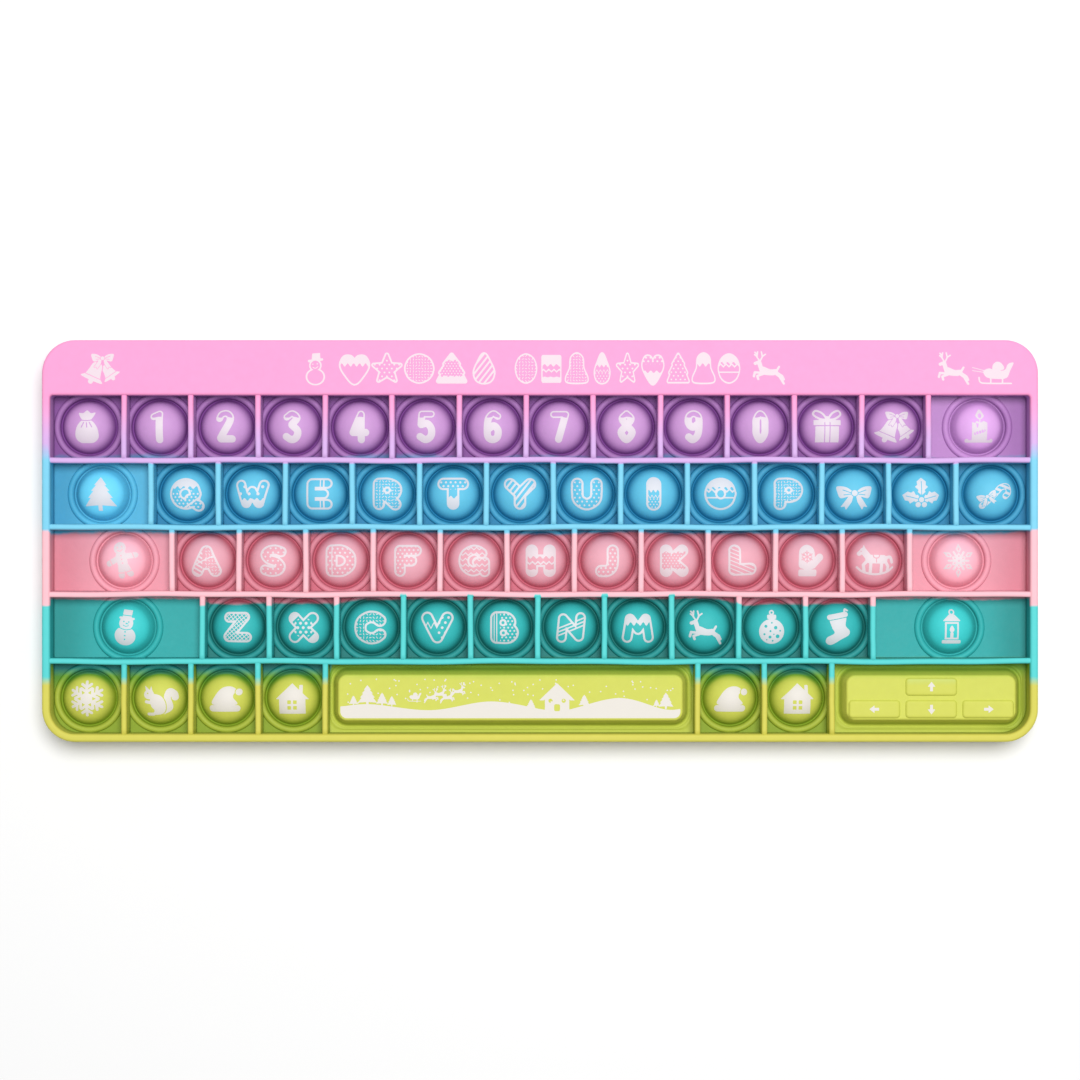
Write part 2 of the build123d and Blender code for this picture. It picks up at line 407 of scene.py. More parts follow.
rail_lines = [(-OPEN_X - INTO_RIM, y, OPEN_X + INTO_RIM, y) for y in RAILS]
rail_points, rail_faces = wall_bars(rail_lines, 220)
rails = new_piece("rails", sway(rail_points), rail_faces)
short_lines = []
for row, xs in WALLS.items():
    front, back = ROWS[row]
    short_lines += [(x, front - INTO_RAIL, x, back + INTO_RAIL) for x in xs]
short_points, short_faces = wall_bars(short_lines, 12)
short_points[:, 2] -= SHORT_WALL_DROP * (short_points[:, 2] > FLOOR)
short_walls = new_piece("short_walls", sway(short_points), short_faces)
for piece in (rails, short_walls):
    piece.data.materials.append(silicone)
    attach(piece, "tray")
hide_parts("wall_grid")

# ---- floors ------------------------------------------------------------------------------
# The thin web at half height that joins the walls. A raised ring stands round each bubble on
# both of its faces, and in a narrow cell only the ring's four corners show.
KEYS = {
    1: ["gift_bag", *"1234567890", "gift_box", "bells", "candle"],
    2: ["fir_tree", *"qwertyuiop", "bow", "holly", "candy_cane"],
    3: ["gingerbread", *"asdfghjkl", "mitten", "rocking_horse", "snowflake"],
    4: ["snowman", *"zxcvbnm", "deer", "bauble", "stocking", "lantern"],
    5: ["flake", "squirrel", "hat", "house", "space_bar", "hat_right", "house_right", "arrow_pad"],
}
LONG = ("space_bar", "arrow_pad")
SKIN = 1.2
WEB_TOP, WEB_UNDER = FLOOR + SKIN / 2, FLOOR - SKIN / 2
RING, RING_HALF, RING_RISE = 9.2, 0.95, 0.95
UNDER_WALL = 0.6
WIDE_CELL = 1.3 * PITCH
cells = {}
for row, names in KEYS.items():
    sides = [-OPEN_X - WALL / 2, *WALLS[row], OPEN_X + WALL / 2]
    for name, left, right in zip(names, sides, sides[1:]):
        node = name if name in LONG else f"bubble_{name}"
        cell = {"row": row, "x0": left + WALL / 2, "x1": right - WALL / 2,
                "y0": ROWS[row][0], "y1": ROWS[row][1], "body": node}
        if row == 5 and name not in LONG:
            cell["body"] = "bubbles_bottom_row"
            cell["x"], cell["y"] = (left + right) / 2, sum(ROWS[row]) / 2
        else:
            middle = sum(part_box(node), start=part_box(node)[0] * 0) / 2 / MM
            cell["x"], cell["y"] = middle.x, middle.y
        cell["wide"] = right - left > WIDE_CELL
        cells[name] = cell


def tuck(points):
    """Points that would stick out of the rim's round front corners are pulled back inside."""
    pivot_x, pivot_y, reach = high[0] - CORNER, low[1] + CORNER, CORNER - 1.2
    dx, dy = np.abs(points[:, 0]) - pivot_x, pivot_y - points[:, 1]
    far = np.hypot(dx, dy)
    out = (dx > 0) & (dy > 0) & (far > reach)
    pull = np.where(out, reach / np.maximum(far, 1e-6), 1.0)
    points[:, 0] = np.where(out, np.sign(points[:, 0]) * (pivot_x + dx * pull), points[:, 0])
    points[:, 1] = np.where(out, pivot_y - dy * pull, points[:, 1])
    return points


def cell_floor(cell, spokes=96):
    """Closed plate from the bubble's hole to the cell's walls: rings of points over the raised
    ring and on to the border, on top and then back underneath. The raised ring's section is a
    half ellipse in the distance from the bubble's axis."""
    a = np.linspace(0, 2 * np.pi, spokes, endpoint=False) + 0.03
    c, s = np.cos(a), np.sin(a)
    wide = np.where(c > 0, cell["x1"] + UNDER_WALL - cell["x"], cell["x"] - cell["x0"] + UNDER_WALL)
    tall = np.where(s > 0, cell["y1"] + UNDER_WALL - cell["y"], cell["y"] - cell["y0"] + UNDER_WALL)
    border = np.minimum(wide / np.abs(c), tall / np.abs(s))
    across = RING - RING_HALF * np.cos(np.linspace(0, np.pi, 13))
    foot = np.minimum(across[-1], border)
    near = np.array([0.12, 0.45])[:, None]
    last = np.maximum(border - 0.35, foot)
    middle = np.array([0.4, 0.7])[:, None]
    r = np.concatenate([np.minimum(across[:, None], border[None]), np.minimum(foot + near, last),
                        np.minimum(foot + 0.45, last) * (1 - middle) + last * middle, [last], [border]])
    bead = RING_RISE * np.sqrt(np.clip(1 - ((r - RING) / RING_HALF) ** 2, 0, None))
    flat_points = np.stack([cell["x"] + r * c, cell["y"] + r * s], 2)
    top = np.concatenate([flat_points, (WEB_TOP + bead)[:, :, None]], 2)
    under = np.concatenate([flat_points, (WEB_UNDER - bead)[:, :, None]], 2)[::-1]
    points = np.concatenate([top, under]).reshape(-1, 3)
    return tuck(points), grid_faces(2 * len(r), spokes, close_rows=True)


def cell_floors(title, names, material):
    """One piece from the floors of the named cells."""
    points, faces, start = [], [], 0
    for name in names:
        p, f = cell_floor(cells[name])
        points.append(p)
        faces.append(f + start)
        start += len(p)
    made = new_piece(title, np.concatenate(points), faces)
    made.data.materials.append(material)
    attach(made, "tray")
    return made


for row in KEYS:
    for wide in (False, True):
        names = [n for n in KEYS[row] if n not in LONG and cells[n]["wide"] == wide]
        if names:
            title = f"wide_floors_row_{row}" if wide else f"floors_row_{row}"
            floor = cell_floors(title, names, painted_lit_silicone if wide else silicone)
            if title == "floors_row_1":
                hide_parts("web", "bubble_walls")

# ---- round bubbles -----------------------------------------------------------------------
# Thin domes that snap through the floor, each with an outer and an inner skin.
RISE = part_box("bubble_q")[1].z / MM - WEB_TOP
FOOT = 7.5
BALL = (FOOT ** 2 + RISE ** 2) / (2 * RISE)
GROOVE = 0.62
CLIMB, CLIMB_START, CLIMB_WIDTH = 1.1, 8.0, 0.6
SKIN_EDGE = 8.7
SHOULDER = 0.03
BUBBLE_GROUPS = [[name] for name in cells if cells[name]["row"] < 5]
BUBBLE_GROUPS.append([name for name in KEYS[5] if name not in LONG])


def dome_height(r):
    """Height over the floor: the higher of a spherical cap and of a narrow groove that climbs
    again under the raised ring, with their meeting line rounded by SHOULDER."""
    cap = np.sqrt(np.clip(BALL ** 2 - r ** 2, 0, None)) - (BALL - RISE)
    climb = np.clip((r - CLIMB_START) / CLIMB_WIDTH, 0, 1)
    bank = -GROOVE + CLIMB * climb ** 2 * (3 - 2 * climb)
    return (cap + bank + np.sqrt((cap - bank) ** 2 + SHOULDER)) / 2


def dome_skin(cell, base, rings, spokes):
    """Polar grid from the crown out to under the raised ring."""
    r = SKIN_EDGE * np.linspace(0, 1, rings) ** 0.7
    a = np.linspace(0, 2 * np.pi, spokes, endpoint=False)
    x = cell["x"] + r[:, None] * np.cos(a)
    y = cell["y"] + r[:, None] * np.sin(a)
    z = base + np.broadcast_to(dome_height(r)[:, None], x.shape)
    return np.stack([x, y, z], 2).reshape(-1, 3), grid_faces(rings, spokes)


def flip_with(piece, cell, base):
    """The piece's place is baked into its mesh."""
    x, y = cell["x"] * MM, cell["y"] * MM
    base * MM
    (base + RISE) * MM
    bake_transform(piece)


for group in BUBBLE_GROUPS:
    body, row = cells[group[0]]["body"], cells[group[0]]["row"]
    for part, base, rings, spokes in (("top", WEB_TOP, 40, 72), ("under", WEB_UNDER, 28, 48)):
        skins = [dome_skin(cells[n], base, rings, spokes) for n in group]
        size = rings * spokes
        faces = [f + i * size for i, (_, f) in enumerate(skins)]
        skin = new_piece(f"{body}_{part}", np.concatenate([p for p, _ in skins]), faces, shell=False)
        if part == "under":
            skin.data.flip_normals()
        skin.data.materials.append(painted_lit_silicone if cells[group[0]]["wide"] else silicone)
        flip_with(skin, cells[group[0]], base)
        if part == "top":
            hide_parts(body)

# ---- space bar and arrow pad -------------------------------------------------------------
# Two long hollow bubbles with flat tops and steep flanks, which pop through like the others.
# The arrow pad carries four low raised keys.
BAR_SIZE = {"space_bar": (99.0, 13.3), "arrow_pad": (48.7, 13.0)}
BAR_CORNER = 2.6
FLARE = 1.6
CREST = 0.75
INNER_STEP = 0.7 * SKIN
HOLE_EDGE = FLARE + 0.7
RIDGE, RIDGE_PLACE, RIDGE_WIDTH = 0.35, 0.15, 0.1
BAR_TOP = WEB_TOP + RISE


def bar_loop(name, inset, side=60):
    """Outline of a long bubble's flat top, moved in by inset, in its place."""
    w, d = BAR_SIZE[name]
    loop = outline(w / 2, -d / 2, d / 2, BAR_CORNER, BAR_CORNER, inset=inset, side=side, turn=10)
    return loop + np.array([cells[name]["x"], cells[name]["y"]])


def bar_profile(half):
    """(inset, height) from under the floor's edge, up the flank, over a quarter circle and in to
    the middle line, which is half the top's depth away."""
    foot = [(-FLARE - 1.3, -0.05), (-FLARE - 0.9, -0.2), (-FLARE - 0.45, -0.28), (-FLARE, 0.05)]
    flank = [(-FLARE + 0.2 + t * (FLARE - 0.35), 0.5 + t * (RISE - 1.35)) for t in np.linspace(0, 1, 7)]
    crest = [(CREST * (1 - np.cos(a)) - 0.05, RISE - CREST * (1 - np.sin(a)))
             for a in np.radians([12, 30, 50, 70, 90])]
    top = [(k, RISE) for k in (0.85, 1.6, 3.0, 5.0, half - 0.8, half)]
    return foot + flank + crest + top


def bar_skin(name, part, base):
    """The profile carried round the outline. The inner skin is a smaller loop inside it."""
    half = BAR_SIZE[name][1] / 2
    inwards = INNER_STEP if part == "under" else 0.0
    steps = [(k + inwards, h) for k, h in bar_profile(half) if k + inwards < half] + [(half, RISE)]
    loops = [bar_loop(name, k) for k, _ in steps]
    points = [np.column_stack([loop, np.full(len(loop), base + h)]) for loop, (_, h) in zip(loops, steps)]
    faces = [grid_faces(len(loops), len(loops[0]))]
    return new_piece(f"{name}_{part}", np.concatenate(points), faces, shell=False)


def bar_floor(name):
    """Closed plate from the long bubble's hole to its cell's walls, spread in straight lines
    between the two loops. A low ridge, a Gaussian of the spread, stands round the hole."""
    cell = cells[name]
    size = outline((cell["x1"] - cell["x0"]) / 2 + UNDER_WALL, cell["y0"] - UNDER_WALL,
                   cell["y1"] + UNDER_WALL, 0.4, 0.4, side=60, turn=10)
    wall_loop = size + np.array([(cell["x0"] + cell["x1"]) / 2, 0.0])
    hole_loop = bar_loop(name, -HOLE_EDGE)
    spread = np.array([0, 0.04, 0.12, 0.2, 0.28, 0.4, 0.6, 0.8, 0.9, 1.0])[:, None, None]
    plate = hole_loop + spread * (wall_loop - hole_loop)
    level = np.ones((*plate.shape[:2], 1))
    ridge = RIDGE * np.exp(-((spread - RIDGE_PLACE) / RIDGE_WIDTH) ** 2)
    top = np.concatenate([plate, level * (WEB_TOP + ridge)], 2)
    under = np.concatenate([plate, level * (WEB_UNDER - ridge)], 2)[::-1]
    points = np.concatenate([top, under]).reshape(-1, 3)
    faces = [grid_faces(2 * len(spread), len(hole_loop), close_rows=True)]
    return new_piece(f"floor_{name}", tuck(points), faces, weld=0)


for name in LONG:
    for part, base in (("top", WEB_TOP), ("under", WEB_UNDER)):
        skin = bar_skin(name, part, base)
        if part == "under":
            skin.data.flip_normals()
        skin.data.materials.append(painted_lit_silicone)
        flip_with(skin, cells[name], base)
        if part == "top":
            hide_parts(name)
    floor = bar_floor(name)
    floor.data.materials.append(painted_lit_silicone)
    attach(floor, "tray")

ARROW_KEY = (14.4, 4.8)
ARROW_KEY_RISE = 0.5
ARROW_PLACES = [(0.0, 3.1, 90), (-16.3, -3.3, 180), (0.0, -3.3, -90), (16.3, -3.3, 0)]
pad = cells["arrow_pad"]


def arrow_key(dx, dy):
    """Rounded rectangles that step inwards as they rise: a low key with soft edges."""
    w, d = ARROW_KEY
    steps = [(-0.25, -0.1), (-0.2, 0.05), (0.0, ARROW_KEY_RISE * 0.55), (0.18, ARROW_KEY_RISE * 0.85),
             (0.45, ARROW_KEY_RISE), (1.0, ARROW_KEY_RISE), (d / 2, ARROW_KEY_RISE)]
    loops = []
    for inset, h in steps:
        loop = outline(w / 2, -d / 2, d / 2, 0.9, 0.9, inset=inset, side=16, turn=6)
        place = loop + [pad["x"] + dx, pad["y"] + dy]
        loops.append(np.column_stack([place, np.full(len(loop), BAR_TOP + h)]))
    return np.concatenate(loops), grid_faces(len(steps), len(loops[0]))


keys = [arrow_key(dx, dy) for dx, dy, _ in ARROW_PLACES]
faces = [block + number * len(keys[0][0]) for number, (_, block) in enumerate(keys)]
arrow_keys = new_piece("arrow_keys", np.concatenate([p for p, _ in keys]), faces, shell=False)
arrow_keys.data.materials.append(silicone)
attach(arrow_keys, "arrow_pad")

# ---- printed motifs ----------------------------------------------------------------------
# White silicone ink, pad printed after moulding: plump letters and digits with icing patterns,
# and small winter pictures. Each is a thin film laid on its surface.
INK_LIFT = 0.05
INK_STEP = 0.1


def smooth(points, closed=False, steps=7):
    """Points of a Catmull-Rom curve through the given points."""
    p = np.asarray(points, float)
    if closed:
        p = np.concatenate([p[-1:], p, p[:2]])
    else:
        p = np.concatenate([2 * p[:1] - p[1:2], p, 2 * p[-1:] - p[-2:-1]])
    t = np.linspace(0, 1, steps, endpoint=False)[:, None]
    spans = [0.5 * (2 * b + (c - a) * t + (2 * a - 5 * b + 4 * c - d) * t ** 2
                    + (3 * b - a - 3 * c + d) * t ** 3) for a, b, c, d in zip(p, p[1:], p[2:], p[3:])]
    return np.concatenate(spans + ([] if closed else [p[-2:-1]]))


def read_points(text, closed=False):
    """Points from "x,y x,y ..."; a leading ~ makes a smooth curve of them."""
    points = np.array([[float(v) for v in pair.split(",")] for pair in text.lstrip("~").split()])
    return smooth(points, closed) if text[0] == "~" else points


def join(*fields):
    """All of the shapes together: the least of their distances."""
    return np.minimum.reduce(fields)


def cut(field, *holes):
    """The shape without the holes: the greatest of its distance and the holes' negative ones."""
    return np.maximum.reduce([field, *(-hole for hole in holes)])


class Ink:
    """Coordinates of a grid to draw on. Each shape is its signed distance, below zero inside."""

    def __init__(self, x, y):
        self.x, self.y = x, y

    def at(self, dx=0.0, dy=0.0, turn=0.0, size=1.0, flip=1):
        """The same grid for a drawing that is moved, enlarged, turned and perhaps mirrored."""
        c, s = np.cos(np.radians(turn)), np.sin(np.radians(turn))
        x, y = (self.x - dx) / size, (self.y - dy) / size
        return Ink(flip * (c * x + s * y), c * y - s * x)

    def both(self):
        """The right half is drawn, and the left half mirrors it."""
        return Ink(np.abs(self.x), self.y)

    def fold(self, arms=6):
        """One arm is drawn along +X, and turned copies follow."""
        part = 2 * np.pi / arms
        angle = np.arctan2(self.y, self.x) - np.pi / 2
        angle = angle - part * np.round(angle / part)
        r = np.hypot(self.x, self.y)
        return Ink(r * np.cos(angle), np.abs(r * np.sin(angle)))

    def line(self, text, half, closed=False):
        """Distance to each stretch between two points, less half the pen's width."""
        best = np.full(self.x.shape, 1e3)
        for stroke in text.split("|"):
            p = read_points(stroke, closed)
            if closed:
                p = np.concatenate([p, p[:1]])
            for (ax, ay), (bx, by) in zip(p, p[1:]):
                ux, uy = bx - ax, by - ay
                t = ((self.x - ax) * ux + (self.y - ay) * uy) / max(ux * ux + uy * uy, 1e-9)
                t = np.clip(t, 0, 1)
                best = np.minimum(best, np.hypot(self.x - ax - t * ux, self.y - ay - t * uy))
        return best - half

    def disc(self, x, y, rx, ry=None):
        """Circle, or ellipse with a distance that is true along its shorter radius."""
        ry = ry or rx
        return (np.hypot((self.x - x) / rx, (self.y - y) / ry) - 1) * min(rx, ry)

    def rect(self, x0, x1, y0, y1, corner=0.15):
        """Distance to a smaller rectangle, less the radius of the corners."""
        dx = np.abs(self.x - (x0 + x1) / 2) - (x1 - x0) / 2 + corner
        dy = np.abs(self.y - (y0 + y1) / 2) - (y1 - y0) / 2 + corner
        away = np.hypot(np.maximum(dx, 0), np.maximum(dy, 0))
        return away + np.minimum(np.maximum(dx, dy), 0) - corner

    def poly(self, text, fat=0.0):
        """Distance to the outline, negative where an odd number of edges lies to the right."""
        p = read_points(text, closed=True)
        inside = np.zeros(self.x.shape, bool)
        for (ax, ay), (bx, by) in zip(p, np.roll(p, -1, 0)):
            level = (ay > self.y) != (by > self.y)
            with np.errstate(divide="ignore", invalid="ignore"):
                side = self.x < (bx - ax) * (self.y - ay) / (by - ay) + ax
            inside ^= level & side
        rim_text = " ".join(f"{x},{y}" for x, y in p)
        away = self.line(rim_text, 0.0, closed=True)
        return np.where(inside, -away, away) - fat

    # icing patterns, each with white below zero; gap is the distance from one mark to the next
    def dots(self, gap=1.25, size=0.3, shift=0.0):
        row = np.round(self.y / (gap * 0.8))
        dx = self.x / gap + 0.5 * (row % 2) + shift
        return np.hypot((dx - np.round(dx)) * gap, self.y - row * gap * 0.8) - size

    def sprinkles(self, gap=0.95):
        column, row = np.round(self.x / gap), np.round(self.y / gap)
        angle = 2.4 * column + 4.1 * row + np.sin(column * row)
        u, v = self.x - column * gap, self.y - row * gap
        c, s = np.cos(angle), np.sin(angle)
        t = np.clip(u * c + v * s, -0.24, 0.24)
        return np.hypot(u - t * c, v - t * s) - 0.11

    def stripes(self, turn=0.0, gap=1.3, share=0.45):
        a = np.radians(turn)
        u = (self.x * np.cos(a) + self.y * np.sin(a)) / gap
        return (np.abs(u - np.round(u)) - share / 2) * gap

    def zigzag(self, level=0.0, half=0.2, tall=0.6, wave=1.5):
        u = self.x / wave
        return np.abs(self.y - level - tall * (2 * np.abs(2 * (u - np.round(u))) - 1) / 2) * 0.75 - half

    def icing(self, level, side=1, tall=0.35, wave=1.7):
        """Everything above the level (side 1) or below it (side -1), with a dripping edge."""
        return side * (level - self.y) + tall * np.cos(2 * np.pi * self.x / wave + level)

    def between(self, low, high):
        return np.abs(self.y - (low + high) / 2) - (high - low) / 2


# Strokes of each character from -3 to 3 or so; "|" starts a new one. Q and R add a stroke to O
# and P, and 9 is a 6 turned over.
GLYPHS = {
    "a": "-2.4,-2.7 0,2.5 2.4,-2.7|-1,-.8 1,-.8",
    "b": "-2.1,2.6 -2.1,-2.7|~-2,2.7 .6,2.6 1.6,1.4 .4,.2 -1,0|~-1,0 1.3,-.2 2.3,-1.4 1.2,-2.7 -2,-2.7",
    "c": "~2.6,1.9 1.4,2.7 -.4,2.8 -2.2,1.7 -2.7,0 -2.2,-1.7 -.4,-2.8 1.4,-2.7 2.6,-1.9",
    "d": "-2.3,2.7 -2.3,-2.7|~-2.3,2.7 .4,2.7 2.3,1.5 2.7,0 2.3,-1.5 .4,-2.7 -2.3,-2.7",
    "e": "-2.1,-2.7 -2.1,2.7|-2,2.8 2.1,2.8|-2,0 1.2,0|-2,-2.8 2.1,-2.8",
    "f": "-1.9,-2.8 -1.9,2.7|-1.8,2.7 2.4,2.7|-1.8,0 1.2,0",
    "g": "~2.2,2 1,2.7 -.4,2.8 -2.2,1.7 -2.7,0 -2.2,-1.7 -.4,-2.8 1.4,-2.3 2.4,-1.7|1,-.4 2.9,-.4 2.9,-3",
    "h": "-2.4,2.7 -2.4,-2.7|2.4,2.7 2.4,-2.7|-2,0 2,0",
    "i": "0,2.5 0,-2.5",
    "j": "~1.4,2.7 1.4,0 1.1,-1.7 0,-2.7 -1.7,-2.8",
    "k": "-2.2,2.7 -2.2,-2.7|-1,0 2.1,2.7|-1,0 2.2,-2.7",
    "l": "-1.8,2.7 -1.8,-2.4 2.5,-2.2",
    "m": "-2.9,-2.7 -2.1,2.3 0,-.5 2.1,2.3 2.9,-2.7",
    "n": "-2.6,-2.7 -2.1,2.4 2.1,-2.4 2.6,2.7",
    "o": "~2.7,0 1.9,1.9 0,2.7 -1.9,1.9 -2.7,0 -1.9,-1.9 0,-2.7 1.9,-1.9 2.7,0",
    "p": "-2,2.6 -2,-2.7|~-2,2.7 .5,2.7 2.2,2 2.6,.9 1.9,-.3 .4,-.8 -1.6,-.6",
    "s": "~2.1,2.4 .5,2.9 -1.2,2.6 -2,1.6 -1,.4 .9,-.3 1.9,-1.5 1.2,-2.6 -.6,-2.9 -2.2,-2.5",
    "t": "-2.6,2.7 2.6,2.7|0,2 0,-2.6",
    "u": "~-2.6,2.7 -2.6,.5 -2.2,-1.6 0,-2.8 2.2,-1.6 2.6,.5 2.6,2.7",
    "v": "-2.7,2.6 0,-2.6 2.7,2.6",
    "w": "-3.1,2.4 -1.7,-2.4 0,.7 1.7,-2.4 3.1,2.4",
    "x": "-2.4,2.5 2.4,-2.5|2.4,2.5 -2.4,-2.5",
    "y": "-2.7,2.6 0,0 2.7,2.6|0,0 0,-2.6",
    "z": "-2,2.8 2.1,2.8 -2.2,-2.5 2.6,-2.6",
    "0": "~1.2,0 1.1,2 0,3.5 -1.1,2 -1.2,0 -1.1,-2 0,-3.5 1.1,-2 1.2,0",
    "1": "-1.2,2.7 .3,3.4 .3,-3.5",
    "2": "~-1.5,2.2 -.9,3.3 .5,3.5 1.4,2.4 .9,.6 -1.3,-3.1|-1.2,-3.3 1.8,-3.3",
    "3": "~-1.4,2.6 0,3.5 1.3,2.3 0,.6|~0,.4 1.5,-1.2 1.1,-2.9 -.2,-3.5 -1.6,-2.7",
    "4": ".5,3.4 -1.6,-1.6 1.8,-1.6|.6,3.2 .6,-3.5",
    "5": "1.4,3.4 -1.1,3.4 -1.3,.6|~-1.2,.5 .4,.8 1.5,-.7 1.3,-2.6 -.1,-3.5 -1.6,-2.7",
    "6": "~1.3,2.8 .1,3.5 -1.2,2.1 -1.5,-1.2 -1.2,-2.9 0,-3.5 1.2,-2.8 1.4,-1 .3,.2 -1.1,-.6",
    "7": "-1.6,3.3 1.6,3.3 -.3,-3.4",
    "8": "~0,3.5 1.2,2.1 0,.3 -1.5,-1.6 0,-3.5 1.5,-1.6 0,.3 -1.2,2.1 0,3.5",
}
GLYPHS["q"] = GLYPHS["o"] + "|1.3,-1.5 3.3,-3.2"
GLYPHS["r"] = GLYPHS["p"] + "|.2,-.6 2.4,-2.8"
PEN = {"e": 1.45, "m": 1.45, "n": 1.45, "s": 1.5, "w": 1.45, "z": 1.45, "g": 1.5, "i": 2.05,
       "f": 1.6, "q": 1.6}
PLAIN_PEN, DIGIT_PEN = 1.7, 0.98
COUNTERS = {"b": ((-0.3, 1.35), (-0.2, -1.4)), "p": ((0.3, 1.0),), "r": ((0.3, 1.0),)}
ICING = {
    "q": lambda k: join(k.icing(1.7), cut(k.dots(1.1, 0.26), k.icing(0.6)),
                        k.at(turn=35).between(-3.2, -2.7)),
    "w": lambda k: join(k.icing(-1.5, -1), k.dots(2.4, 0.42, 0.35)),
    "e": lambda k: np.maximum(join(np.abs(k.x - 0.3) - 0.16, np.abs(k.x - 1.2) - 0.22), 1.1 - np.abs(k.y)),
    "r": lambda k: k.sprinkles(0.85),
    "t": lambda k: join(k.icing(-0.9, -1), np.maximum(k.dots(1.3, 0.3), 1.2 - k.y)),
    "y": lambda k: k.stripes(-38, 1.3, 0.42),
    "u": lambda k: k.dots(1.3, 0.26),
    "i": lambda k: join(k.icing(0.7, wave=1.2), k.zigzag(-0.8, 0.12, 0.9, 1.0),
                        np.maximum(k.dots(0.9, 0.2), k.y + 1.4)),
    "o": lambda k: join(k.icing(1.5), k.zigzag(0.9, 0.22, 0.8, 1.6), k.between(-1.25, -0.85)),
    "p": lambda k: k.sprinkles(0.8),
    "a": lambda k: join(np.maximum(k.stripes(60, 1.1), k.x + 1.0),
                        np.maximum(k.sprinkles(0.85), -0.6 - k.x), k.at(turn=25).between(0.2, 0.55)),
    "s": lambda k: k.dots(1.4, 0.28),
    "d": lambda k: join(k.dots(1.35, 0.3), np.abs(k.x + 2.2) - 0.15),
    "f": lambda k: join(k.dots(1.2, 0.28), -k.at(turn=50).y + 3.4 - k.x),
    "g": lambda k: join(*(k.zigzag(level, 0.15, 0.7, 1.5) for level in (-2.7, -1.2, 0.3, 1.8, 3.3))),
    "h": lambda k: join(k.icing(0.9), cut(k.zigzag(-0.6, 0.2, 0.7), k.icing(0.9)), k.icing(-2.4, -1, 0.1)),
    "j": lambda k: k.dots(1.25, 0.3, 0.4),
    "k": lambda k: join(k.dots(0.9, 0.2), k.icing(2.3, 1, 0.2), k.icing(-2.2, -1, 0.2)),
    "l": lambda k: k.stripes(68, 1.0, 0.3),
    "z": lambda k: join(k.stripes(40, 0.8, 0.26), k.stripes(-50, 0.8, 0.26)),
    "x": lambda k: join(np.maximum(k.dots(1.5, 0.4), np.hypot(k.x, k.y) - 2.7),
                        3.2 - np.abs(k.at(turn=45).y)),
    "c": lambda k: k.sprinkles(0.9),
    "v": lambda k: join(np.maximum(k.zigzag(0.6, 0.2, 1.6, 1.7), k.x),
                        np.maximum(k.dots(1.7, 0.36, 0.2), -k.x)),
    "b": lambda k: join(np.maximum(k.dots(1.1, 0.26), -1.1 - k.x), np.abs(k.x + 2.0) - 0.15,
                        np.abs(k.x + 2.7) - 0.12),
    "n": lambda k: join(*(k.at(turn=22).between(level, level + 0.4) for level in (-0.9, 0.0, 0.9))),
    "m": lambda k: k.icing(1.0, tall=0.45),
}


def plump(shape, pattern, band=0.55):
    """A shape with a white outline and, inside it, a white pattern."""
    return np.maximum(shape, join(-shape - band, pattern))


def character(ink, key):
    """A letter or digit: thick round strokes, perhaps with small round counters."""
    ink = ink.at(size=1.06)
    if key.isdigit():
        k = ink.at(turn=180) if key == "9" else ink
        shape = k.line(GLYPHS["6" if key == "9" else key], DIGIT_PEN)
        return plump(shape, ink.icing(2.55, -1, 0.12, 3.0), 0.42)
    shape = ink.line(GLYPHS[key], PEN.get(key, PLAIN_PEN))
    for x, y in COUNTERS.get(key, ()):
        shape = cut(shape, ink.disc(x, y, 0.42))
    return plump(shape, ICING[key](ink))


# In the pictures below, k is the grid that they are drawn on, with (0, 0) at its middle.
def gift_bag(k):
    body = k.poly("~-3.3,-3 -3,-.4 -1.7,1.5 0,2 1.7,1.5 3,-.4 3.3,-3 2,-4.5 0,-4.7 -2,-4.5")
    ruff = k.poly("~-1.3,2 -2.4,3.9 -1.1,3.9 0,4.7 1.1,3.9 2.4,4 1.3,2 0,1.8")
    folds = k.line("-.8,1.2 -1.5,-.2|0,1.1 .1,-.2|.8,1.2 1.5,-.1", 0.15)
    return cut(join(body, ruff), folds, k.line("~-1.9,1.9 0,1.7 1.9,2", 0.13))


def gift_box(k):
    box = join(k.rect(-3.9, 3.9, 0.4, 1.9), k.rect(-3.4, 3.4, -4.5, 0.1))
    box = cut(box, k.both().line("0.75,-5 0.75,2", 0.13))
    loops = k.both().line("~0,1.9 2.1,2.2 3.9,3.5 3.2,4.6 1.4,3.8 0,1.9", 0.3)
    return join(box, loops, k.both().line("0,2.3 1.7,0.9", 0.3), k.disc(0, 2.3, 0.7))


def bow(k):
    h = k.both()
    wing = h.poly("~.3,.4 2.4,1.9 4.9,2.1 4.8,.4 4,-1.2 2.2,-.9 .3,-.4")
    tail = h.poly(".4,-.3 1.7,-.9 3.7,-3.7 2.7,-3.5 2.3,-4.4 .9,-2.3", 0.1)
    bow_shape = cut(join(wing, tail), h.line("1.1,.3 3.3,1.1|1.1,-.1 3,-.3", 0.12), k.disc(0, 0.2, 1.05))
    return join(bow_shape, k.disc(0, 0.2, 0.85))


def bell(k):
    dome = k.poly("~0,3 1.4,2.3 1.9,.2 2.4,-1.4 3.4,-2.5 0,-2.8 -3.4,-2.5 -2.4,-1.4 -1.9,.2 -1.4,2.3")
    return join(cut(dome, k.line("-2.3,-1.5 2.3,-1.5", 0.1)), k.disc(0, -3.1, 0.75))


def bells(k):
    left, right = bell(k.at(-1.4, -0.9, -24)), bell(k.at(2.7, -0.9, 34, 0.78))
    pair = join(cut(right, left - 0.25), left)
    knot = bow(k.at(0.9, 2.9, 0, 0.66))
    return join(cut(pair, knot - 0.22), knot)


